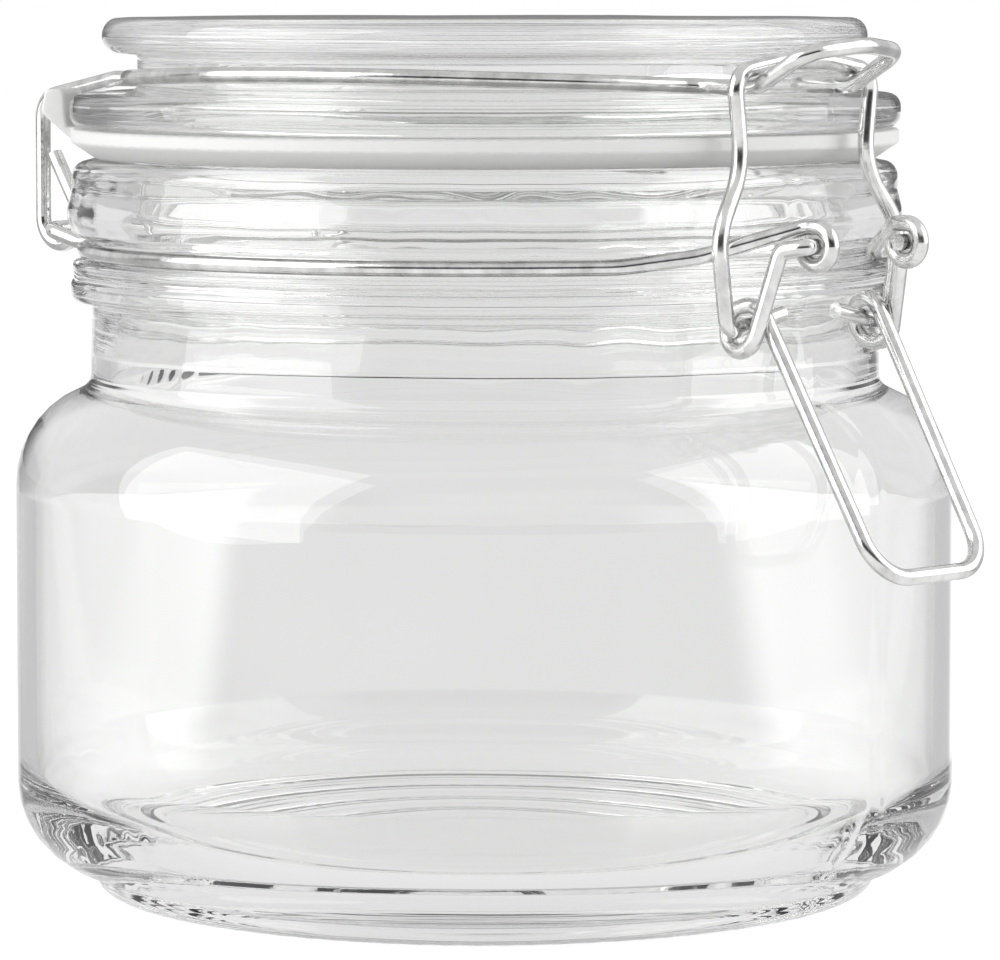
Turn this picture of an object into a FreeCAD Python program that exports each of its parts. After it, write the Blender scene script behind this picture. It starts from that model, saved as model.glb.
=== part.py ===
import FreeCAD, Part
import os
from math import acos, asin, atan2, cos, degrees, pi, radians, sin, sqrt, tan

# Preserving jar with a hinged glass lid and an over-centre wire clasp.
# Z is up, the origin is on the jar's axis at the plane it stands on.
# +X points to the clasp, -X to the hinge.  All sizes in millimetres.

# ---- jar ----
BODY_R = 57.0            # outside of the body
NECK_R = 47.9            # outside of the neck
MOUTH_Z = 88.6           # height of the sealing land
WALL = 2.6               # body wall
NECK_WALL = 3.7          # from the mouth to the outside of the neck
NECK_FOOT_DROP = 25.95   # land to the foot of the neck
SHOULDER_SLOPE = 21.0    # degrees from level where the shoulder turns
SHOULDER_FILLET = 2.2    # between shoulder and neck
FLOOR_Z = 7.4            # inside floor at the heel
FLOOR_CROWN = 1.0        # the floor rises this much to its middle
HEEL_R = 10.8            # radius of the heel
FOOT_IN = 9.5            # bearing ring inside the body
FOOT_WIDTH = 4.2         # width of the bearing ring
FOOT_HEIGHT = 2.6        # ring below the heel
PUSH_UP = 3.2            # hollow under the base
LIP_OUT = 2.35           # rim under the land, beyond the neck
LIP_FILLET = 2.4         # rounded outer edge of the land
BULGE_OUT = 3.2          # transfer bead under the rim, beyond the neck
BULGE_DROP = 7.0         # its middle below the land
BEAD_OUT = 2.6           # bead under the ridge, beyond the neck
BEAD_DROP = 17.5         # its underside below the land
BEAD_HEIGHT = 3.2
NOTCH_OUT = 1.1          # between bead and ridge
RIDGE_OUT = 2.3          # ridge that carries the neck wire
GROOVE_IN = 0.5          # floor of the wire's groove inside the neck

# ---- lid ----
LID_HEIGHT = 17.0        # sealing land to lid top
LID_RIM_IN = 4.0         # rounded rim inside the flange
LID_RIM = 4.6            # thickness of the rim
LID_GROOVE_IN = 4.26     # wall of the groove for the lid wire, inside the rim
LID_FLANGE_OUT = 0.11    # flange beyond the jar's rim
LID_FLANGE = 4.3         # thickness of the flange at its edge
LID_FLANGE_FALL = 0.4    # the flange's top falls this much outwards
LID_WALL = 4.6           # side wall round the hollow underside
PLUG_PLAY = 1.8          # plug to mouth, all round
PLUG_DEPTH = 1.0         # plug below the sealing land

# ---- gasket ----
GASKET_H = 3.5
GASKET_IN = 0.15         # gasket inside the jar's rim
GASKET_EDGE = 1.6        # height of its outer edge
GASKET_PLAY = 0.6        # gasket to plug
TAB_ASIDE = 7.45         # pull tab beside the hinge loop
TAB_WIDTH = 10.0
TAB_THICK = 2.4
TAB_RISE = 4.6           # turned-up height above the gasket's top
TAB_CLEAR = 0.8          # tab to the lid's flange

# ---- wires ----
WIRE_D = 1.9
WIRE_FIT = 0.1           # wire to the floor of its groove
PIN_FIT = 0.25           # pin in an eye

HINGE_OUT = 2.1          # hinge bar beyond the transfer bead
HINGE_RISE = 1.4         # hinge bar above the neck wire
LOOP_W = 22.0            # half spacing of the lid wire's hinge loops
STAPLE_PLAY = 0.5        # hinge loop to the neck wire's staple
LOOP_R = 3.4             # bend of a hinge loop
LOOP_LEAN = 34.0         # lean of a loop's closing run, degrees
LOOP_CLOSE = 9.3         # height of the closing run's end above the bar
HINGE_LEG_DROP = 2.6     # lid wire's leg top below the lid groove

EYE_OUT = 12.1           # eye beyond the neck wire's circle
EYE_RISE = 2.5           # eye above the neck wire
EYE_W = 7.7              # half spacing of the eyes

COIL_SET = 1.5           # the coil's back inside the bead's circle
COIL_DROP = 9.45         # coil below the eye
COIL_GAP = 0.9           # between the coil's turns
COIL_PLAY = 0.65         # bail's pin to the coil round it
ARM_OUT = 0.9            # lever arm's bend beside the eye's pin
ARM_BEND_IN = 3.0        # that bend inside the eye
HANDLE_CLEAR = 14.55     # handle beyond the body
HANDLE_DROP = 36.8       # handle below the eye
HANDLE_W = 9.3           # half width of the handle
HANDLE_BEND = 5.0

BAIL_BAR_W = 11.8        # half width of the bail's top bar
BAIL_ARCH = 1.2          # rise of the top bar
BAIL_BOW_OUT = 6.0       # widest part of the bail's legs beside the lever's legs
BAIL_WAIST_W = 10.5      # legs beside the jar's rim
BAIL_PIN_W = 4.6         # where the pins end
BAIL_SEAT = 0.1          # bar to nose
BAIL_CLEAR = 0.3         # bar to the lid's flange

NOSE_W = 8.2             # half width of the nose
NOSE_REACH = 10.2        # front of the nose beyond the lid flange
NOSE_RISE = 4.7          # nose above the lid groove's wire
LID_RING_BOW = (0.8, 1.45, 0.5)  # the ring's rise in its groove, front to back

# ---- values that follow ----
WIRE_R = WIRE_D / 2
MOUTH_R = NECK_R - NECK_WALL
NECK_FOOT_Z = MOUTH_Z - NECK_FOOT_DROP
FOOT_R = BODY_R - FOOT_IN
LIP_R = NECK_R + LIP_OUT
BULGE_R = NECK_R + BULGE_OUT
BULGE_Z = MOUTH_Z - BULGE_DROP
BEAD_R = NECK_R + BEAD_OUT
BEAD_Z = MOUTH_Z - BEAD_DROP
NOTCH_R = NECK_R + NOTCH_OUT
RIDGE_R = NECK_R + RIDGE_OUT
GROOVE_R = NECK_R - GROOVE_IN
LID_FLANGE_R = LIP_R + LID_FLANGE_OUT
LID_TOP_R = LID_FLANGE_R - LID_RIM_IN
LID_GROOVE_R = LID_TOP_R - LID_GROOVE_IN
GASKET_R = LIP_R - GASKET_IN
HINGE_U = BULGE_R + HINGE_OUT
STAPLE_W = LOOP_W + WIRE_D + STAPLE_PLAY
LID_TOP_Z = MOUTH_Z + LID_HEIGHT
LID_SEAT_Z = MOUTH_Z + GASKET_H
LID_RIM_Z = LID_TOP_Z - LID_RIM
LID_GROOVE_Z = LID_SEAT_Z + LID_FLANGE + LID_FLANGE_FALL
PLUG_R = MOUTH_R - PLUG_PLAY
NECK_RING_R = GROOVE_R + WIRE_R + WIRE_FIT
RIDGE_Z = BEAD_Z + BEAD_HEIGHT + 0.3
NECK_RING_Z = RIDGE_Z + 1.95 + WIRE_R
LID_RING_R = LID_GROOVE_R + WIRE_R + WIRE_FIT
LID_RING_Z = LID_GROOVE_Z + WIRE_R + WIRE_FIT / 2
HINGE_Z = NECK_RING_Z + HINGE_RISE
EYE_U = NECK_RING_R + EYE_OUT
EYE_Z = NECK_RING_Z + EYE_RISE
EYE_R = WIRE_D + PIN_FIT
COIL_R = WIRE_D + COIL_PLAY
COIL_U = BEAD_R - COIL_SET + COIL_R + WIRE_R
COIL_IN = EYE_U - COIL_U
COIL_Z = EYE_Z - COIL_DROP
LEG_W = EYE_W + WIRE_D
ARM_W = LEG_W + ARM_OUT
BAIL_BOW_W = LEG_W + BAIL_BOW_OUT
TAB_AT = 180 + degrees(asin((LOOP_W + TAB_ASIDE) / GASKET_R))
HANDLE_U = BODY_R + HANDLE_CLEAR
HANDLE_Z = EYE_Z - HANDLE_DROP
BAIL_BAR_U = LID_FLANGE_R + WIRE_R + BAIL_CLEAR


def vector(values):
    return FreeCAD.Vector(values[0], values[1], values[2])


def rounded_path(corners):
    """Lines joined by tangent arcs; each corner is (x, y, z, bend radius)."""
    points = [vector(corner) for corner in corners]
    edges = []
    start = points[0]
    for index in range(1, len(points) - 1):
        corner = points[index]
        bend = corners[index][3]
        back = (points[index - 1] - corner).normalize()
        ahead = (points[index + 1] - corner).normalize()
        half = back.getAngle(ahead) / 2
        if bend > 0:
            first = corner + back * (bend / tan(half))
            last = corner + ahead * (bend / tan(half))
            inward = (back + ahead).normalize()
            middle = corner + inward * (bend / sin(half) - bend)
        else:
            first = corner
            last = corner
        if start.distanceToPoint(first) > 0.002:
            edges.append(Part.makeLine(start, first))
        else:
            first = start
        if bend > 0:
            edges.append(Part.Arc(first, middle, last).toShape())
        start = last
    edges.append(Part.makeLine(start, points[-1]))
    return edges


def turned(outline):
    """A solid of revolution about Z from a closed outline of (r, z, fillet)."""
    middle = [(outline[0][0] + outline[-1][0]) / 2, 0, (outline[0][1] + outline[-1][1]) / 2, 0]
    corners = [middle] + [(r, 0, z, fillet) for r, z, fillet in outline] + [middle]
    face = Part.Face(Part.Wire(rounded_path(corners)))
    solid = face.revolve(FreeCAD.Vector(0, 0, 0), FreeCAD.Vector(0, 0, 1), 360)
    return solid


def wire_solid(corners):
    """A round wire bent along the corners."""
    edges = rounded_path(corners)
    start = vector(corners[0])
    heading = vector(corners[1]) - start
    disc = Part.Face(Part.Wire(Part.makeCircle(WIRE_R, start, heading)))
    solid = Part.Wire(edges).makePipe(disc)
    return solid


def mirrored(half):
    """A half path on the +Y side, followed by its mirror image in reverse."""
    return half + [(x, -y, z, bend) for x, y, z, bend in reversed(half)]


def ring_corners(radius, z, start, stop, count):
    """Corners whose bends make one arc about Z between two azimuths, radians."""
    step = (stop - start) / count
    reach = radius / cos(step / 2)
    angles = [start + step * (index + 0.5) for index in range(count)]
    return [(reach * cos(angle), reach * sin(angle), z, radius) for angle in angles]


def polar(radius, azimuth, z, bend):
    return (radius * cos(radians(azimuth)), radius * sin(radians(azimuth)), z, bend)


# ---- jar ----

def shoulder_corners(neck_r, body_r, fillet, foot_z):
    """Two bends, touching each other, from the neck down to the body."""
    slope = radians(SHOULDER_SLOPE)
    share = tan((pi / 2 - slope) / 2)
    large = (body_r - neck_r) / (cos(slope) * share) - fillet
    inner_z = foot_z - fillet * share
    outer_z = inner_z - (body_r - neck_r) * tan(slope)
    return [(neck_r, inner_z, fillet), (body_r, outer_z, large)]


def jar_glass():
    lean = asin((FOOT_R - BODY_R + HEEL_R) / HEEL_R)
    heel_z = FOOT_HEIGHT + (BODY_R - FOOT_R) * tan(lean)
    ring_in = FOOT_R - FOOT_WIDTH
    below = [
        (0, PUSH_UP, 0),
        (ring_in - 3, PUSH_UP - 1.4, 8),
        (ring_in, 0, 1.5),
        (FOOT_R, 0, 1.8),
        (FOOT_R, FOOT_HEIGHT, 0.3),
        (BODY_R, heel_z, HEEL_R),
    ]
    shoulder = shoulder_corners(NECK_R, BODY_R, SHOULDER_FILLET, NECK_FOOT_Z)
    shoulder.reverse()
    finish = [
        (NECK_R, BEAD_Z, 0.4),
        (BEAD_R, BEAD_Z + 0.2, 1.3),
        (BEAD_R, BEAD_Z + BEAD_HEIGHT - 0.1, 1.2),
        (NOTCH_R, BEAD_Z + BEAD_HEIGHT + 0.1, 0.2),
        (RIDGE_R, RIDGE_Z + 0.1, 0.7),
        (RIDGE_R, NECK_RING_Z - WIRE_R - 0.15, 0.9),
        (GROOVE_R, NECK_RING_Z - WIRE_R - 0.05, 0.8),
        (GROOVE_R, NECK_RING_Z + WIRE_R + 0.1, 0.8),
        (GROOVE_R + 1.1, NECK_RING_Z + WIRE_R + 0.1, 0.6),
        (BULGE_R - 0.9, NECK_RING_Z + WIRE_R + 1.1, 0.6),
        (BULGE_R, BULGE_Z, 4.0),
        (LIP_R, BULGE_Z + 3.2, 4.0),
        (LIP_R, MOUTH_Z, LIP_FILLET),
    ]
    inner_neck = MOUTH_R + 1.0
    fall = WALL / cos(radians(SHOULDER_SLOPE))
    inside = [
        (MOUTH_R, MOUTH_Z, 0.9),
        (MOUTH_R, BEAD_Z, 6.0),
        (inner_neck, BEAD_Z - 6.0, 6.0),
    ]
    inner_foot_z = shoulder[1][1] + (NECK_R - inner_neck) * tan(radians(SHOULDER_SLOPE)) - fall
    fillet = SHOULDER_FILLET + 0.8
    share = tan((pi / 2 - radians(SHOULDER_SLOPE)) / 2)
    inside += shoulder_corners(inner_neck, BODY_R - WALL, fillet, inner_foot_z + fillet * share)
    inside += [
        (BODY_R - WALL, FLOOR_Z - 0.6, HEEL_R - 1.6),
        (0, FLOOR_Z + FLOOR_CROWN, 0),
    ]
    return turned(below + shoulder + finish + inside)


# ---- lid ----

def lid_glass():
    round_edge = LID_RIM / 2 - 0.05
    hollow_r = PLUG_R - LID_WALL
    outline = [
        (0, LID_TOP_Z, 0),
        (LID_TOP_R, LID_TOP_Z, round_edge),
        (LID_TOP_R, LID_RIM_Z, round_edge),
        (LID_GROOVE_R, LID_RIM_Z, 0.7),
        (LID_GROOVE_R, LID_GROOVE_Z, 0.7),
        (LID_RING_R, LID_GROOVE_Z, 4.0),
        (LID_FLANGE_R, LID_GROOVE_Z - LID_FLANGE_FALL, 1.7),
        (LID_FLANGE_R, LID_SEAT_Z, 1.7),
        (PLUG_R, LID_SEAT_Z, 0.4),
        (PLUG_R, MOUTH_Z - PLUG_DEPTH, 1.0),
        (hollow_r + 0.8, MOUTH_Z - PLUG_DEPTH, 1.4),
        (hollow_r, LID_TOP_Z - LID_RIM - 0.4, 5.0),
        (0, LID_TOP_Z - LID_RIM, 0),
    ]
    return turned(outline)


def gasket():
    inner = PLUG_R + GASKET_PLAY
    land = LIP_R - LIP_FILLET - 0.6
    ring = turned([
        (inner, MOUTH_Z, 0.3),
        (land, MOUTH_Z, 0.3),
        (GASKET_R, LID_SEAT_Z - GASKET_EDGE, 0.4),
        (GASKET_R, LID_SEAT_Z, 0.3),
        (inner, LID_SEAT_Z, 0.3),
    ])
    out = LID_FLANGE_R + TAB_CLEAR
    low = LID_SEAT_Z - GASKET_EDGE + 0.1
    top = LID_SEAT_Z + TAB_RISE
    profile = [
        (GASKET_R - 2, 0, low, 0),
        (GASKET_R + 0.4, 0, low + 0.1, 1.5),
        (out + TAB_THICK + 0.5, 0, LID_SEAT_Z + 1.7, 1.2),
        (out + TAB_THICK, 0, top, 0.8),
        (out, 0, top, 0.8),
        (out - 0.3, 0, LID_SEAT_Z, 0.3),
        (GASKET_R - 2, 0, LID_SEAT_Z, 0),
        (GASKET_R - 2, 0, low, 0),
    ]
    face = Part.Face(Part.Wire(rounded_path(profile)))
    tab = face.extrude(FreeCAD.Vector(0, TAB_WIDTH, 0))
    tab.translate(FreeCAD.Vector(0, -TAB_WIDTH / 2, 0))
    upright = [edge for edge in tab.Edges if abs(edge.CenterOfMass.z - top) < 0.01]
    across = [edge for edge in upright if abs(edge.CenterOfMass.y) > TAB_WIDTH / 2 - 0.01]
    if across:
        tab = tab.makeFillet(0.4, across)
    tab.rotate(FreeCAD.Vector(0, 0, 0), FreeCAD.Vector(0, 0, 1), TAB_AT)
    return ring.fuse(tab)


# ---- wires ----

def neck_ring():
    """Ring in the jar's groove, staple behind, two eyes in front."""
    lead = 3.0
    far = sqrt(NECK_RING_R ** 2 + lead ** 2)
    turn = atan2(lead, NECK_RING_R)
    start_w = 22.0
    start = asin(start_w / far) + turn
    stop = pi - asin(STAPLE_W / far) - turn
    eye = [
        (EYE_U - EYE_R, EYE_W, EYE_Z + 0.2, 0),
        (EYE_U - EYE_R, EYE_W, EYE_Z - EYE_R, EYE_R - 0.05),
        (EYE_U + EYE_R, EYE_W, EYE_Z - EYE_R, EYE_R - 0.05),
        (EYE_U + EYE_R, EYE_W, EYE_Z + EYE_R, EYE_R - 0.05),
        (EYE_U - 1.7, EYE_W + 0.05, EYE_Z + EYE_R, 2.2),
        polar(BULGE_R + WIRE_R - 0.3, 17.0, NECK_RING_Z + 1.2, 12.0),
        (sqrt(far ** 2 - start_w ** 2), start_w, NECK_RING_Z, 12.0),
    ]
    staple = [
        (-sqrt(far ** 2 - STAPLE_W ** 2), STAPLE_W, NECK_RING_Z, 3.5),
        (-HINGE_U + 6, STAPLE_W, NECK_RING_Z, 6.0),
        (-HINGE_U, STAPLE_W, HINGE_Z, WIRE_R + 1.0),
    ]
    half = eye + ring_corners(NECK_RING_R, NECK_RING_Z, start, stop, 3) + staple
    return wire_solid(mirrored(half))


def lid_ring():
    """Ring in the lid's groove, nose in front, two loops round the hinge bar behind."""
    lead = 3.2
    far = sqrt(LID_RING_R ** 2 + lead ** 2)
    turn = atan2(lead, LID_RING_R)
    start = asin(NOSE_W / far) + turn
    stop = pi - asin(LOOP_W / far) - turn
    root = LID_RING_Z - 0.1
    apex = LID_FLANGE_R + NOSE_REACH
    nose = [
        (apex, 1.2, LID_RING_Z + NOSE_RISE, 6.0),
        (apex - 1.4, NOSE_W - 0.2, LID_RING_Z + NOSE_RISE - 0.7, 3.3),
        (BAIL_BAR_U + 0.1, NOSE_W, root, 5.0),
        (sqrt(far ** 2 - NOSE_W ** 2), NOSE_W, LID_RING_Z, 3.0),
    ]
    bar_seat = LOOP_R - WIRE_D - 0.1
    centre_z = HINGE_Z + bar_seat
    leg_u = -HINGE_U - LOOP_R
    bottom = centre_z - LOOP_R
    lean = radians(LOOP_LEAN)
    swing = LOOP_R * tan((pi / 2 + lean) / 2)
    tangent_u = -HINGE_U + LOOP_R * cos(lean)
    tangent_z = centre_z + LOOP_R * sin(lean)
    close_z = HINGE_Z + LOOP_CLOSE
    close_u = tangent_u - (close_z - tangent_z) * tan(lean)
    loop = [
        (-sqrt(far ** 2 - LOOP_W ** 2), LOOP_W, LID_RING_Z, 4.0),
        (-LID_FLANGE_R + 7.6, LOOP_W, LID_RING_Z, 6.0),
        (leg_u, LOOP_W, LID_RING_Z - HINGE_LEG_DROP, 3.0),
        (leg_u, LOOP_W, bottom, LOOP_R - 0.02),
        (-HINGE_U + swing, LOOP_W, bottom, LOOP_R - 0.02),
        (close_u, LOOP_W, close_z, 0),
    ]
    ring = ring_corners(LID_RING_R, LID_RING_Z, start, stop, len(LID_RING_BOW))
    ring = [(x, y, z + rise, bend - 0.3) for (x, y, z, bend), rise in zip(ring, LID_RING_BOW)]
    half = ring + loop
    return wire_solid([(x, -y, z, bend) for x, y, z, bend in reversed(half)]
                      + [(x, -y, z, bend) for x, y, z, bend in reversed(nose)]
                      + nose + half)


def lever():
    """Pins in the eyes, one coil in each arm, legs down to the handle."""
    bend_u = COIL_IN - ARM_BEND_IN
    bend_z = COIL_DROP - 0.5
    toward = atan2(bend_z, bend_u)
    span = sqrt(bend_z ** 2 + bend_u ** 2)
    enter = toward - acos(COIL_R / span)
    handle_u = HANDLE_U - COIL_U
    handle_z = HANDLE_Z - COIL_Z
    reach = sqrt(handle_u ** 2 + handle_z ** 2)
    leave = atan2(handle_z, handle_u) + acos(COIL_R / reach)
    sweep = enter - leave + 2 * pi
    count = 4
    step = sweep / count
    arm_coil_w = LEG_W + WIRE_D + COIL_GAP
    coil = []
    for index in range(count):
        angle = enter - step * (index + 0.5)
        outward = COIL_R / cos(step / 2)
        side = arm_coil_w + (LEG_W - arm_coil_w) * (index + 0.5) / count
        coil.append((COIL_U + outward * cos(angle), side, COIL_Z + outward * sin(angle), COIL_R * 0.96))
    half = [
        (EYE_U, EYE_W - WIRE_D * 0.8, EYE_Z, 0),
        (EYE_U, EYE_W + WIRE_D + 0.1, EYE_Z, 1.2),
        (COIL_U + bend_u, ARM_W, COIL_Z + bend_z, 1.2),
    ]
    half += coil
    half += [(COIL_U + handle_u, HANDLE_W, COIL_Z + handle_z, HANDLE_BEND)]
    return wire_solid(mirrored(half))


def bail():
    """Top bar over the nose's roots, bowed legs, pins through the lever's coils."""
    bar_z = LID_RING_Z + 0.15 + WIRE_D + BAIL_SEAT
    pin_z = COIL_Z + 0.2
    foot_w = LEG_W + WIRE_D * 2 + COIL_GAP - 0.5
    half = [
        (COIL_U, BAIL_PIN_W, pin_z + 1.2, 0),
        (COIL_U, foot_w, pin_z - 0.65, 1.6),
        (COIL_U + 0.2, BAIL_BOW_W, EYE_Z + 1.2, 7.0),
        (BAIL_BAR_U, BAIL_WAIST_W, MOUTH_Z, 9.0),
        (BAIL_BAR_U, BAIL_BAR_W, bar_z - 0.5, 2.6),
        (BAIL_BAR_U, NOSE_W * 0.5, bar_z - 0.5 + BAIL_ARCH, 14.0),
    ]
    return wire_solid(mirrored(half))


os.makedirs("parts", exist_ok=True)
PIECES = {
    "jar_glass": jar_glass,
    "lid_glass": lid_glass,
    "gasket": gasket,
    "neck_ring": neck_ring,
    "lid_ring": lid_ring,
    "lever": lever,
    "bail": bail,
}
for name, make in PIECES.items():
    shape = make()
    if not shape.isValid() or len(shape.Solids) != 1:
        raise ValueError(name)
    shape.exportStep("parts/" + name + ".step")
    print(name, round(shape.Volume / 1000, 2), "cm3", len(shape.Faces), "faces")
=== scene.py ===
from math import asin, cos, pi, radians, sin, tan

import bmesh
import bpy
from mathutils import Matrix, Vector


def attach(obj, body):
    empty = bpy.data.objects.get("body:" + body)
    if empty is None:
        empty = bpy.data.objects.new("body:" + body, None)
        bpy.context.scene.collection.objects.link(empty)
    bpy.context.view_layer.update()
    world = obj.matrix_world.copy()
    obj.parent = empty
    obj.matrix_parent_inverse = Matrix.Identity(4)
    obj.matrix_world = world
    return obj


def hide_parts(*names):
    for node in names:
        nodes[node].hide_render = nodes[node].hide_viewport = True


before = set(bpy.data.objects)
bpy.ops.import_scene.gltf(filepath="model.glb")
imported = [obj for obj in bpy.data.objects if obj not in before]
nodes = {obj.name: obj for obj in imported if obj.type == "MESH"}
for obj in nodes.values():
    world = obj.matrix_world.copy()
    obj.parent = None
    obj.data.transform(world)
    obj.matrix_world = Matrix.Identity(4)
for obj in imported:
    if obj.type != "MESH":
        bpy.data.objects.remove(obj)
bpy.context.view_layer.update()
MM = 0.001


# ---- Jar ----
# A squat jar of clear soda-lime glass, blown in a two-part mould.  Its finish has a bead, a ridge
# and a groove for the neck wire, a bulge and a flat sealing land; it stands on a knurled ring.

BODY_R, NECK_R, MOUTH_Z = 57.0, 47.9, 88.6
MOUTH_R, MOUTH_FLARE = NECK_R - 3.7, 1.0
WALL, FLOOR_Z, FLOOR_CROWN, HEEL_R = 2.6, 7.4, 1.0, 10.8
NECK_FOOT_Z, SHOULDER_SLOPE, SHOULDER_FILLET = MOUTH_Z - 25.95, radians(21), 2.2
FOOT_R, FOOT_WIDTH, FOOT_HEIGHT, PUSH_UP = BODY_R - 9.5, 4.2, 2.6, 3.2
BEAD_R, BEAD_Z, BEAD_HEIGHT = NECK_R + 2.6, MOUTH_Z - 17.5, 3.2
NOTCH_R, RIDGE_R, GROOVE_R = NECK_R + 1.1, NECK_R + 2.3, NECK_R - 0.5
NECK_WIRE_Z, WIRE_R = MOUTH_Z - 11.1, 0.95
BULGE_R, BULGE_Z, LIP_R, LIP_FILLET = NECK_R + 3.2, MOUTH_Z - 7.0, NECK_R + 2.35, 2.4
KNURLS, KNURL_HEIGHT, KNURL_SLANT = 88.0, 0.00004, 1500.0
KNURL_ROWS = (2.6, 2.2, 1.85)
RIPPLE_HEIGHT, SEGMENTS = 0.00016, 320
DIMPLES_PER_M, CLOUDS_PER_M = 110.0, 38.0
GLASS_IOR = 1.52
GLASS_PALE, GLASS_DEEP = (0.972, 0.975, 0.971, 1), (0.940, 0.947, 0.938, 1)


def add(tree, kind, settings=None, **inputs):
    """One node with its settings made and its inputs filled or joined; _0 is the first input."""
    made = tree.nodes.new(kind)
    for name, value in (settings or {}).items():
        setattr(made, name, value)
    for name, value in inputs.items():
        key = int(name[1:]) if name[0] == "_" else name.replace("_", " ")
        if isinstance(value, bpy.types.NodeSocket):
            tree.links.new(value, made.inputs[key])
        else:
            made.inputs[key].default_value = value
    return made


def sum_of(tree, operation, *values, clamp=False):
    """The output of one math node."""
    inputs = {"_%d" % index: value for index, value in enumerate(values)}
    settings = {"operation": operation, "use_clamp": clamp}
    return add(tree, "ShaderNodeMath", settings, **inputs).outputs[0]


def size_of(tree, operation, *vectors):
    """The number that a vector node gives, such as a length or a dot product."""
    inputs = {"_%d" % index: vector for index, vector in enumerate(vectors)}
    return add(tree, "ShaderNodeVectorMath", {"operation": operation}, **inputs).outputs["Value"]


def fade(tree, value, low, high, at_low=0.0, at_high=1.0):
    """A soft step between two values."""
    return add(tree, "ShaderNodeMapRange", {"interpolation_type": "SMOOTHSTEP"}, Value=value,
               From_Min=low, From_Max=high, To_Min=at_low, To_Max=at_high).outputs[0]


def noise(tree, place, scale, detail):
    """Soft patches, so many to the metre."""
    return add(tree, "ShaderNodeTexNoise", Vector=place, Scale=scale, Detail=detail).outputs[0]


def new_material(name):
    """An empty material with its tree, its shader and its output."""
    made = bpy.data.materials.new(name)
    made.use_nodes = True
    tree = made.node_tree
    return made, tree, tree.nodes["Principled BSDF"], tree.nodes["Material Output"]


def profile_object(name, outline):
    """A half section of (radius, height, fillet) in mm: a line of edges that carries its fillets."""
    mesh = bpy.data.meshes.new(name)
    points = [(r * MM, -z * MM, 0) for r, z, _ in outline]
    mesh.from_pydata(points, [(i, i + 1) for i in range(len(points) - 1)], [])
    fillets = mesh.attributes.new("fillet", "FLOAT", "POINT")
    fillets.data.foreach_set("value", [fillet * MM for _, _, fillet in outline])
    made = bpy.data.objects.new(name, mesh)
    bpy.context.scene.collection.objects.link(made)
    return made


def knurled(tree, given, azimuth, radius, height):
    """Slanted ribs that meet in a chevron along the middle of the bearing ring, pressed inwards."""
    off_middle = sum_of(tree, "ABSOLUTE", sum_of(tree, "SUBTRACT", radius, given["Ring middle"]))
    turn = sum_of(tree, "MULTIPLY_ADD", azimuth, given["Knurls"],
                  sum_of(tree, "MULTIPLY", off_middle, KNURL_SLANT))
    wave = sum_of(tree, "MULTIPLY_ADD", sum_of(tree, "SINE", turn), 0.5, 0.5)
    on_ring = add(tree, "ShaderNodeMapRange", Value=height, From_Min=0.0001, From_Max=0.0005,
                  To_Min=1.0, To_Max=0.0).outputs[0]
    return sum_of(tree, "MULTIPLY", wave, sum_of(tree, "MULTIPLY", on_ring, given["Knurl height"]))


def mould_seams(tree, given, azimuth, upper, outside):
    """Two fine raised lines down the body and the neck, at the joins of the mould."""
    seam_at = add(tree, "ShaderNodeMix", _0=upper, _2=given["Body seam"], _3=given["Neck seam"]).outputs[0]
    swing = sum_of(tree, "SINE", sum_of(tree, "SUBTRACT", azimuth, seam_at))
    off_seam = sum_of(tree, "DIVIDE", swing, given["Seam width"])
    square = sum_of(tree, "MULTIPLY", off_seam, off_seam)
    bell = sum_of(tree, "EXPONENT", sum_of(tree, "MULTIPLY", square, -1.0))
    return sum_of(tree, "MULTIPLY", sum_of(tree, "MULTIPLY", bell, outside), given["Seam height"])


def ripples(tree, given, at, part, outside):
    """Slow waves drawn out round the glass, deeper inside, and dimples on the outside of the finish."""
    across = sum_of(tree, "DIVIDE", 1.0, given["Ripple stretch"])
    drawn = add(tree, "ShaderNodeCombineXYZ", _0=sum_of(tree, "MULTIPLY", part[0], across),
                _1=sum_of(tree, "MULTIPLY", part[1], across), _2=part[2])
    slow = add(tree, "ShaderNodeTexNoise", {"noise_dimensions": "3D"}, Vector=drawn.outputs[0],
               Scale=sum_of(tree, "DIVIDE", 1.0, given["Ripple size"]), Detail=1.0, Roughness=0.4)
    onto_neck = fade(tree, part[2], given["Neck from"], sum_of(tree, "ADD", given["Neck from"], 0.005))
    dimples = sum_of(tree, "MULTIPLY", noise(tree, at, DIMPLES_PER_M, 1.0), outside)
    peel = sum_of(tree, "MULTIPLY", dimples, sum_of(tree, "MULTIPLY", onto_neck, given["Finish ripple"]))
    depth = sum_of(tree, "MULTIPLY_ADD", slow.outputs[0], given["Ripple height"], peel)
    inside = sum_of(tree, "SUBTRACT", 1.0, outside)
    more = sum_of(tree, "MULTIPLY_ADD", inside, given["Inner ripple"], 1.0)
    return sum_of(tree, "MULTIPLY", depth, more)


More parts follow.
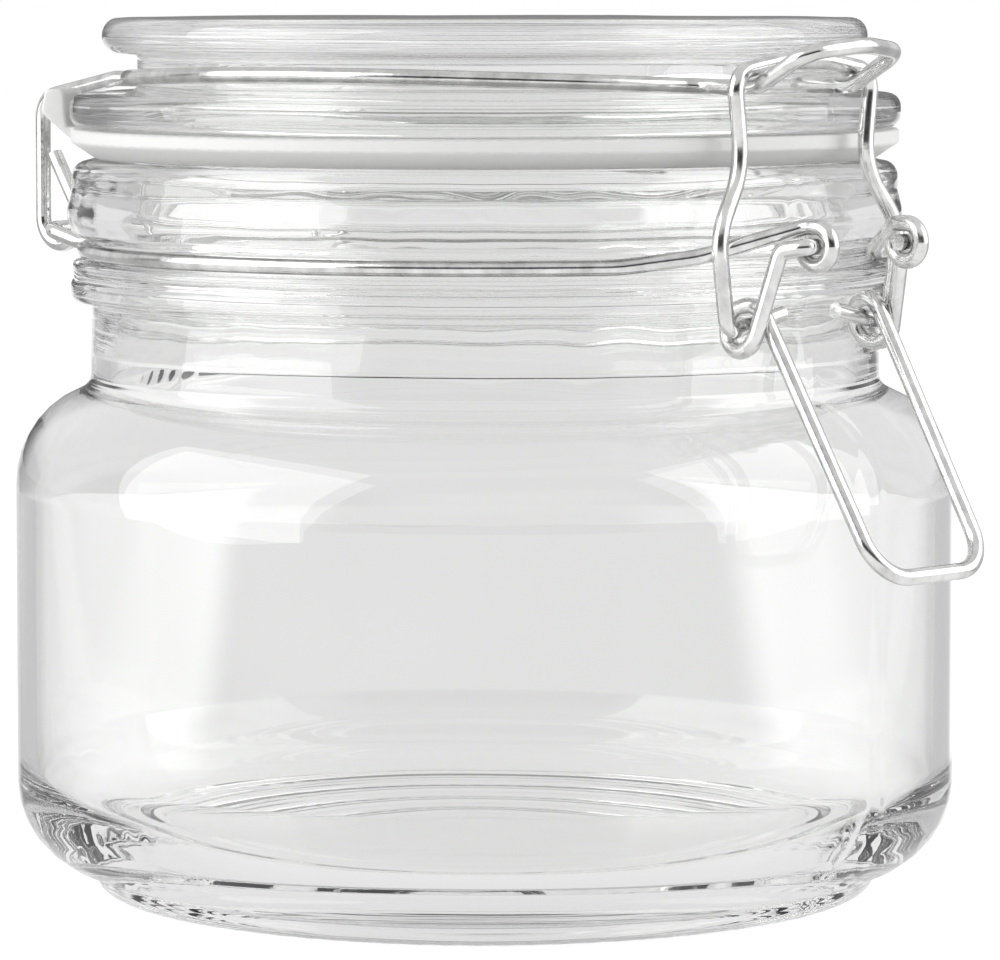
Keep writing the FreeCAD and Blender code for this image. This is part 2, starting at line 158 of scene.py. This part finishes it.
def turning_tree():
    """Geometry nodes that turn a half section about Z and give the glass its ripple, knurls and seams."""
    tree = bpy.data.node_groups.new("turned glass", "GeometryNodeTree")
    tree.interface.new_socket("Geometry", in_out="OUTPUT", socket_type="NodeSocketGeometry")
    tree.interface.new_socket("Geometry", in_out="INPUT", socket_type="NodeSocketGeometry")
    for kind, names in (
        ("Int", ("Segments", "Arc steps")),
        ("Float", ("Ripple height", "Ripple size", "Ripple stretch", "Inner ripple", "Finish ripple",
                   "Seam height", "Seam width", "Body seam", "Neck seam", "Neck from",
                   "Knurls", "Knurl height", "Ring middle")),
        ("Material", ("Glass",)),
    ):
        for name in names:
            tree.interface.new_socket(name, in_out="INPUT", socket_type="NodeSocket" + kind)
    given = tree.nodes.new("NodeGroupInput").outputs

    line = add(tree, "GeometryNodeMeshToCurve", Mesh=given["Geometry"])
    fillet = add(tree, "GeometryNodeInputNamedAttribute", {"data_type": "FLOAT"}, Name="fillet")
    rounded = add(tree, "GeometryNodeFilletCurve", {"mode": "POLY"}, Curve=line.outputs[0],
                  Count=given["Arc steps"], Radius=fillet.outputs[0])
    # The section is swept round a circle of 1 m, so it is set inwards by as much.
    inward = add(tree, "GeometryNodeSetPosition", Geometry=rounded.outputs[0], Offset=(-1, 0, 0))
    circle = add(tree, "GeometryNodeCurvePrimitiveCircle", Resolution=given["Segments"], Radius=1.0)
    swept = add(tree, "GeometryNodeCurveToMesh", Curve=circle.outputs[0], Profile_Curve=inward.outputs[0])
    merged = add(tree, "GeometryNodeMergeByDistance", Geometry=swept.outputs[0], Distance=0.000008)
    turned = add(tree, "GeometryNodeFlipFaces", Mesh=merged.outputs[0])

    at = add(tree, "GeometryNodeInputPosition").outputs[0]
    normal = add(tree, "GeometryNodeInputNormal").outputs[0]
    part = add(tree, "ShaderNodeSeparateXYZ", _0=at).outputs
    flat = add(tree, "ShaderNodeCombineXYZ", _0=part[0], _1=part[1]).outputs[0]
    radial = add(tree, "ShaderNodeVectorMath", {"operation": "NORMALIZE"}, _0=flat).outputs[0]
    outward = size_of(tree, "DOT_PRODUCT", normal, radial)
    outside = sum_of(tree, "MULTIPLY_ADD", outward, 2.0, 0.0, clamp=True)
    azimuth = sum_of(tree, "ARCTAN2", part[1], part[0])
    upper = sum_of(tree, "GREATER_THAN", part[2], given["Neck from"])
    seams = mould_seams(tree, given, azimuth, upper, outside)
    knurls = knurled(tree, given, azimuth, size_of(tree, "LENGTH", flat), part[2])
    sunk = sum_of(tree, "ADD", ripples(tree, given, at, part, outside), knurls)
    lift = sum_of(tree, "SUBTRACT", seams, sunk)
    along = add(tree, "ShaderNodeVectorMath", {"operation": "SCALE"}, _0=normal, Scale=lift)

    waved = add(tree, "GeometryNodeSetPosition", Geometry=turned.outputs[0], Offset=along.outputs[0])
    smooth = add(tree, "GeometryNodeSetShadeSmooth", Geometry=waved.outputs[0])
    whole = add(tree, "GeometryNodeRealizeInstances", Geometry=smooth.outputs[0])
    clear = add(tree, "GeometryNodeSetMaterial", Geometry=whole.outputs[0], Material=given["Glass"])
    tree.links.new(clear.outputs[0], tree.nodes.new("NodeGroupOutput").inputs[0])
    return tree


def made_mesh(source, tree, name, inputs):
    """A plain mesh object of what the node tree makes from the source object."""
    modifier = source.modifiers.new(name, "NODES")
    modifier.node_group = tree
    for item in tree.interface.items_tree:
        if item.in_out == "INPUT" and item.name in inputs:
            modifier[item.identifier] = inputs[item.name]
    bpy.context.view_layer.update()
    seen = source.evaluated_get(bpy.context.evaluated_depsgraph_get())
    mesh = bpy.data.meshes.new_from_object(seen)
    source.modifiers.remove(modifier)
    bpy.data.objects.remove(source)
    shell = bmesh.new()
    shell.from_mesh(mesh)
    bmesh.ops.recalc_face_normals(shell, faces=shell.faces)
    if shell.calc_volume(signed=True) < 0:
        bmesh.ops.reverse_faces(shell, faces=shell.faces)
    shell.to_mesh(mesh)
    shell.free()
    made = bpy.data.objects.new(name, mesh)
    bpy.context.scene.collection.objects.link(made)
    return made


def shoulder(neck_r, body_r, fillet, foot_z):
    """Two bends that meet, from the neck down to the body."""
    share = tan((pi / 2 - SHOULDER_SLOPE) / 2)
    large = (body_r - neck_r) / (cos(SHOULDER_SLOPE) * share) - fillet
    inner_z = foot_z - fillet * share
    outer_z = inner_z - (body_r - neck_r) * tan(SHOULDER_SLOPE)
    return [(neck_r, inner_z, fillet), (body_r, outer_z, large)]


clear_glass, tree, glass, _ = new_material("clear glass")
glass.inputs["Transmission Weight"].default_value = 1.0
glass.inputs["IOR"].default_value = GLASS_IOR
glass.inputs["Roughness"].default_value = 0.0
place = add(tree, "ShaderNodeTexCoord").outputs["Object"]
tint = add(tree, "ShaderNodeMix", {"data_type": "RGBA"}, _0=noise(tree, place, CLOUDS_PER_M, 0.0),
           _6=GLASS_PALE, _7=GLASS_DEEP)
tree.links.new(tint.outputs[2], glass.inputs["Base Color"])

lean = asin((FOOT_R - BODY_R + HEEL_R) / HEEL_R)
ring_in = FOOT_R - FOOT_WIDTH
below = [
    (0, PUSH_UP, 0),
    (ring_in - 3, PUSH_UP - 1.4, 8),
    (ring_in, 0, 1.5),
    *[(FOOT_R - row, 0, 0) for row in KNURL_ROWS],
    (FOOT_R, 0, 1.8),
    (FOOT_R, FOOT_HEIGHT, 0.3),
    (BODY_R, FOOT_HEIGHT + (BODY_R - FOOT_R) * tan(lean), HEEL_R),
]
finish = [
    (NECK_R, BEAD_Z, 0.4),
    (BEAD_R, BEAD_Z + 0.2, 1.3),
    (BEAD_R, BEAD_Z + BEAD_HEIGHT - 0.1, 1.2),
    (NOTCH_R, BEAD_Z + BEAD_HEIGHT + 0.1, 0.2),
    (RIDGE_R, BEAD_Z + BEAD_HEIGHT + 0.4, 0.7),
    (RIDGE_R, NECK_WIRE_Z - WIRE_R - 0.15, 0.9),
    (GROOVE_R, NECK_WIRE_Z - WIRE_R - 0.05, 0.8),
    (GROOVE_R, NECK_WIRE_Z + WIRE_R + 0.1, 0.8),
    (GROOVE_R + 1.1, NECK_WIRE_Z + WIRE_R + 0.1, 0.6),
    (BULGE_R - 0.9, NECK_WIRE_Z + WIRE_R + 1.1, 0.6),
    (BULGE_R, BULGE_Z, 4.0),
    (LIP_R, BULGE_Z + 3.2, 4.0),
    (LIP_R, MOUTH_Z, LIP_FILLET),
]
outer_shoulder = shoulder(NECK_R, BODY_R, SHOULDER_FILLET, NECK_FOOT_Z)
inner_neck = MOUTH_R + MOUTH_FLARE
fall = WALL / cos(SHOULDER_SLOPE)
inner_foot = outer_shoulder[0][1] + (NECK_R - inner_neck) * tan(SHOULDER_SLOPE) - fall
inner_fillet = SHOULDER_FILLET + 0.8
inside = [(MOUTH_R, MOUTH_Z, 0.9), (MOUTH_R, BEAD_Z, 6.0), (inner_neck, BEAD_Z - 6.0, 6.0)]
inside += shoulder(inner_neck, BODY_R - WALL, inner_fillet,
                   inner_foot + inner_fillet * tan((pi / 2 - SHOULDER_SLOPE) / 2))
inside += [(BODY_R - WALL, FLOOR_Z - 0.6, HEEL_R - 1.6), (0, FLOOR_Z + FLOOR_CROWN, 0)]

turning = turning_tree()
jar = made_mesh(
    profile_object("jar section", below + outer_shoulder[::-1] + finish + inside), turning, "jar",
    {
        "Segments": SEGMENTS, "Arc steps": 7,
        "Ripple height": RIPPLE_HEIGHT, "Ripple size": 0.026, "Ripple stretch": 1.6,
        "Inner ripple": 1.6, "Finish ripple": 0.00036,
        "Seam height": 0.00012, "Seam width": 0.012, "Body seam": radians(8), "Neck seam": 0.0,
        "Neck from": (BEAD_Z - 3.1) * MM,
        "Knurls": KNURLS, "Knurl height": KNURL_HEIGHT, "Ring middle": (FOOT_R - 1.7) * MM,
        "Glass": clear_glass,
    },
)
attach(jar, "jar")
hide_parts("jar_glass")


# ---- Lid ----
# A pressed lid of the same glass: a rounded rim, a groove for the lid wire, a flange that bears
# on the gasket, and a hollow plug that drops into the mouth.  Its top is bare.

LID_SEAT_Z, LID_TOP_Z, LID_RIM = MOUTH_Z + 3.5, MOUTH_Z + 17.0, 4.6
LID_FLANGE_R, LID_FLANGE, LID_FLANGE_FALL = LIP_R + 0.11, 4.3, 0.4
LID_TOP_R = LID_FLANGE_R - 4.0
LID_GROOVE_R = LID_TOP_R - 4.26
LID_WIRE_R = LID_GROOVE_R + WIRE_R + 0.1
LID_WALL, PLUG_R, PLUG_DEPTH = 4.6, MOUTH_R - 1.8, 1.0

round_edge = LID_RIM / 2 - 0.05
groove_z = LID_SEAT_Z + LID_FLANGE + LID_FLANGE_FALL
hollow_r = PLUG_R - LID_WALL
rim_z = LID_TOP_Z - LID_RIM
lid_section = [
    (0, rim_z, 0),
    (hollow_r, rim_z - 0.4, 5.0),
    (hollow_r + 0.8, MOUTH_Z - PLUG_DEPTH, 1.4),
    (PLUG_R, MOUTH_Z - PLUG_DEPTH, 1.0),
    (PLUG_R, LID_SEAT_Z, 0.4),
    (LID_FLANGE_R, LID_SEAT_Z, 1.7),
    (LID_FLANGE_R, groove_z - LID_FLANGE_FALL, 1.7),
    (LID_WIRE_R, groove_z, 4.0),
    (LID_GROOVE_R, groove_z, 0.7),
    (LID_GROOVE_R, rim_z, 0.7),
    (LID_TOP_R, rim_z, round_edge),
    (LID_TOP_R, LID_TOP_Z, round_edge),
    (0, LID_TOP_Z, 0),
]
lid = made_mesh(
    profile_object("lid section", lid_section), turning, "lid",
    {
        "Segments": SEGMENTS, "Arc steps": 8,
        "Ripple height": RIPPLE_HEIGHT, "Ripple size": 0.006, "Ripple stretch": 3.2,
        "Inner ripple": 1.0, "Seam width": 0.01, "Neck from": 1.0, "Glass": clear_glass,
    },
)
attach(lid, "lid")
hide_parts("lid_glass")


# ---- Gasket ----
# A moulded ring of pale rubber with a pull tab beside the hinge.  It lies on the jar's sealing land
# and the shut lid presses it.

RUBBER_SHADES = ((0.3, (0.95, 0.95, 0.93, 1)), (0.7, (0.98, 0.98, 0.965, 1)))
RUBBER_PATCHES, RUBBER_ROUGHNESS = (90.0, 4.0), (0.38, 0.55)
RUBBER_GRAIN, RUBBER_RELIEF = (1500.0, 2.0), (0.0001, 0.3)


def shaded(tree, amount, shades):
    """A colour that goes from shade to shade, each at its own amount."""
    ramp = add(tree, "ShaderNodeValToRGB", Fac=amount)
    stops = ramp.color_ramp.elements
    while len(stops) < len(shades):
        stops.new(0.5)
    for stop, (place_at, colour) in zip(stops, shades):
        stop.position, stop.color = place_at, colour
    return ramp.outputs[0]


def surface(name, patches, shades, roughness, grain, relief):
    """A mottled material with a fine grain: patches and grain are a number to the metre and a detail,
    roughness goes from one value to the other, and relief is a depth in metres and a strength."""
    made, tree, shader, _ = new_material(name)
    place = add(tree, "ShaderNodeTexCoord").outputs["Object"]
    mottle = noise(tree, place, *patches)
    tree.links.new(shaded(tree, mottle, shades), shader.inputs["Base Color"])
    gloss = add(tree, "ShaderNodeMapRange", Value=mottle, To_Min=roughness[0], To_Max=roughness[1])
    tree.links.new(gloss.outputs[0], shader.inputs["Roughness"])
    bump = add(tree, "ShaderNodeBump", Distance=relief[0], Strength=relief[1],
               Height=noise(tree, place, *grain))
    tree.links.new(bump.outputs[0], shader.inputs["Normal"])
    return made, shader


pale_rubber, rubber = surface("pale rubber", RUBBER_PATCHES, RUBBER_SHADES, RUBBER_ROUGHNESS,
                              RUBBER_GRAIN, RUBBER_RELIEF)
rubber.inputs["Subsurface Weight"].default_value = 0.3
rubber.inputs["Subsurface Radius"].default_value = (0.004, 0.004, 0.0035)
rubber.inputs["Subsurface Scale"].default_value = 1.0
nodes["gasket"].material_slots[0].material = pale_rubber


# ---- Wires ----
# The neck wire, the lid wire, the lever and the bail: drawn steel wire, bent cold from one gauge
# and nickel plated, a little mottled and scratched along its length.

WIRE_SHADES = ((0.32, (0.56, 0.56, 0.555, 1)), (0.62, (0.78, 0.78, 0.775, 1)))
WIRE_PATCHES, WIRE_ROUGHNESS = (420.0, 5.0), (0.12, 0.24)
WIRE_SCRATCHES, WIRE_RELIEF = (1600.0, 3.0), (0.00006, 0.25)

bright_wire, plated = surface("nickel plated wire", WIRE_PATCHES, WIRE_SHADES, WIRE_ROUGHNESS,
                              WIRE_SCRATCHES, WIRE_RELIEF)
plated.inputs["Metallic"].default_value = 1.0
for name in ("neck_ring", "lid_ring", "lever", "bail"):
    nodes[name].material_slots[0].material = bright_wire


# ---- Table and light ----
# A white table top, two soft boxes at the sides, and a dark room behind the viewer that bright
# metal and glass reflect.

TOWARD = Vector((cos(radians(-45)), sin(radians(-45)), 0))
ASIDE = Vector((cos(radians(45)), sin(radians(45)), 0))
TABLE_HALF, TABLE_DROP = 3.0, 0.0002
TABLE_SHOWN, TABLE_IN_GLASS, TABLE_FAINT, TABLE_COLOUR = 0.90, 1.06, 0.3, 0.8
CARD_HALF, CARD_SPREAD, CARD_LENGTH, CARD_DEPTH = 0.0365, 0.0554, 2.0, 0.28
CARD_GREYS = ((0.022, 0.0), (0.04, 1.0), (0.325, 1.0), (0.35, 0.62), (0.46, 0.68), (0.52, 1.0))
DIM_SIDES, SHADOW_UNDER_JAR = 0.48, 0.30
STUDIO, DARK_ROOM, SCREENS = 0.80, 0.04, 0.75
SKY_SHOWN, SKY_LIGHT = 1.0, 0.45
BOX_FAR, BOX_UP, BOX_AIM = 1.0, 0.5, 0.06


def seen_directly(tree):
    """The light path, and 1 for rays from the camera, from gloss and through glass."""
    path = add(tree, "ShaderNodeLightPath").outputs
    first = sum_of(tree, "MAXIMUM", path["Is Camera Ray"], path["Is Glossy Ray"])
    return path, sum_of(tree, "MAXIMUM", first, path["Is Transmission Ray"])


def table_shade(tree):
    """How much darker the table is where glass shows it: a grey card, painted shade at the dim sides
    and a painted shadow under the jar.
    """
    spot = add(tree, "ShaderNodeTexCoord").outputs["Object"]
    behind = size_of(tree, "DOT_PRODUCT", spot, -TOWARD)
    beside = sum_of(tree, "ABSOLUTE", size_of(tree, "DOT_PRODUCT", spot, ASIDE))
    card_edge = sum_of(tree, "MULTIPLY_ADD", behind, CARD_SPREAD, CARD_HALF)
    within = fade(tree, sum_of(tree, "DIVIDE", beside, card_edge), 0.92, 1.12, 1.0, 0.0)
    greys = [(far, (grey, grey, grey, 1)) for far, grey in CARD_GREYS]
    card = shaded(tree, sum_of(tree, "DIVIDE", behind, CARD_LENGTH), greys)
    # Painted shade: the table is darker beyond the lit sweep at both sides, for the dim studio there,
    #     # and the edges of the glass show it.
    spread = sum_of(tree, "DIVIDE", sum_of(tree, "SUBTRACT", beside, BODY_R * MM),
                    sum_of(tree, "MAXIMUM", behind, 0.01))
    dim = sum_of(tree, "MULTIPLY", fade(tree, spread, 0.26, 0.40, 0.0, DIM_SIDES),
                 fade(tree, behind, -0.04, 0.06))
    # Painted shadow: the table seen through the glass is darker close under the jar.
    painted_shadow = fade(tree, size_of(tree, "LENGTH", spot), 0.035, 0.085, SHADOW_UNDER_JAR, 0.0)
    carded = sum_of(tree, "MULTIPLY_ADD", sum_of(tree, "MULTIPLY", card, within), CARD_DEPTH, dim)
    return sum_of(tree, "ADD", carded, painted_shadow)


def room_shade(tree, path):
    """1 where the dark room and its screens are, up to its ceiling; the screens show in mirrors alone."""
    from_jar = add(tree, "ShaderNodeTexCoord").outputs["Generated"]
    toward = size_of(tree, "DOT_PRODUCT", from_jar, TOWARD)
    across = sum_of(tree, "ABSOLUTE", size_of(tree, "DOT_PRODUCT", from_jar, ASIDE))
    height = add(tree, "ShaderNodeSeparateXYZ", _0=from_jar).outputs[2]
    away = sum_of(tree, "MAXIMUM", across, sum_of(tree, "MULTIPLY", toward, -1.0))
    mirrored = sum_of(tree, "SUBTRACT", 1.0, path["Is Transmission Ray"])
    screens = sum_of(tree, "MULTIPLY", fade(tree, away, 0.86, 0.95, 0.0, SCREENS), mirrored)
    darkest = sum_of(tree, "MAXIMUM", fade(tree, toward, 0.70, 0.84), screens)
    return sum_of(tree, "MULTIPLY", darkest, fade(tree, height, 0.3, 0.5, 1.0, 0.0))


white_top, tree, top, output = new_material("white table")
path, direct = seen_directly(tree)
top.inputs["Base Color"].default_value = (TABLE_COLOUR, TABLE_COLOUR, TABLE_COLOUR, 1)
top.inputs["Roughness"].default_value = 0.9
top.inputs["Specular IOR Level"].default_value = 0.0
in_glass = sum_of(tree, "SUBTRACT", TABLE_IN_GLASS, table_shade(tree))
level = add(tree, "ShaderNodeMix", _0=path["Is Camera Ray"], _2=in_glass, _3=TABLE_SHOWN).outputs[0]
lit = add(tree, "ShaderNodeEmission", Color=(1, 1, 1, 1), Strength=level).outputs[0]
faint = add(tree, "ShaderNodeBsdfDiffuse", Color=(TABLE_FAINT, TABLE_FAINT, TABLE_FAINT, 1)).outputs[0]
both = add(tree, "ShaderNodeAddShader", _0=faint, _1=lit).outputs[0]
seen = add(tree, "ShaderNodeMixShader", _0=path["Is Camera Ray"], _1=lit, _2=both).outputs[0]
shown = add(tree, "ShaderNodeMixShader", _0=direct, _1=top.outputs[0], _2=seen)
tree.links.new(shown.outputs[0], output.inputs["Surface"])
corners = [(x * TABLE_HALF, y * TABLE_HALF) for x, y in ((-1, -1), (1, -1), (1, 1), (-1, 1))]
mesh = bpy.data.meshes.new("table top")
mesh.from_pydata([(x, y, -TABLE_DROP) for x, y in corners], [], [(0, 1, 2, 3)])
mesh.materials.append(white_top)
table = bpy.data.objects.new("table_top", mesh)
bpy.context.scene.collection.objects.link(table)

world = bpy.data.worlds.new("studio")
bpy.context.scene.world = world
world.use_nodes = True
tree = world.node_tree
background = tree.nodes["Background"]
background.inputs["Color"].default_value = (1, 1, 1, 1)
path, direct = seen_directly(tree)
studio = add(tree, "ShaderNodeMapRange", Value=room_shade(tree, path), To_Min=STUDIO, To_Max=DARK_ROOM)
seen = add(tree, "ShaderNodeMix", _0=path["Is Camera Ray"], _2=studio.outputs[0], _3=SKY_SHOWN).outputs[0]
strength = add(tree, "ShaderNodeMix", _0=direct, _2=SKY_LIGHT, _3=seen).outputs[0]
tree.links.new(strength, background.inputs["Strength"])

for name, swing, wide, tall, watts in (
    ("left_soft_box", -70, 1.2, 1.1, 8.5),
    ("right_soft_box", 82, 1.1, 1.1, 6.5),
):
    lamp = bpy.data.lights.new(name, "AREA")
    lamp.shape, lamp.size, lamp.size_y, lamp.energy = "RECTANGLE", wide, tall, watts
    box = bpy.data.objects.new(name, lamp)
    outward = (TOWARD * cos(radians(swing)) + ASIDE * sin(radians(swing))) * BOX_FAR
    box.location = outward + Vector((0, 0, BOX_UP))
    box.rotation_euler = (outward + Vector((0, 0, BOX_UP - BOX_AIM))).to_track_quat("Z", "Y").to_euler()
    bpy.context.scene.collection.objects.link(box)


# ---- Camera ----
# A long lens on a stand, 0.65 m from the jar's middle and level with its lid, looking down a little.
# It is shifted so that the upright wires stay upright.

SENSOR, LENS, SHIFT = 36.0, 194.0652, -0.15
DISTANCE, HEIGHT = 0.65406, 0.10965
PAN, TILT = radians(134.841), radians(3.688)
BOUNCES = 16

camera = bpy.data.cameras.new("camera")
camera.sensor_width, camera.lens, camera.shift_y = SENSOR, LENS, SHIFT
eye = bpy.data.objects.new("camera", camera)
eye.location = TOWARD * DISTANCE + Vector((0, 0, HEIGHT))
ahead = Vector((cos(PAN) * cos(TILT), sin(PAN) * cos(TILT), -sin(TILT)))
eye.rotation_euler = ahead.to_track_quat("-Z", "Y").to_euler()
bpy.context.scene.collection.objects.link(eye)
bpy.context.scene.camera = eye
bpy.context.scene.view_settings.view_transform = "Standard"

# Thick clear glass needs more light bounces than the usual number, or its heel and rims go black.
for limit in ("max_bounces", "transmission_bounces", "glossy_bounces"):
    setattr(bpy.context.scene.cycles, limit, BOUNCES)
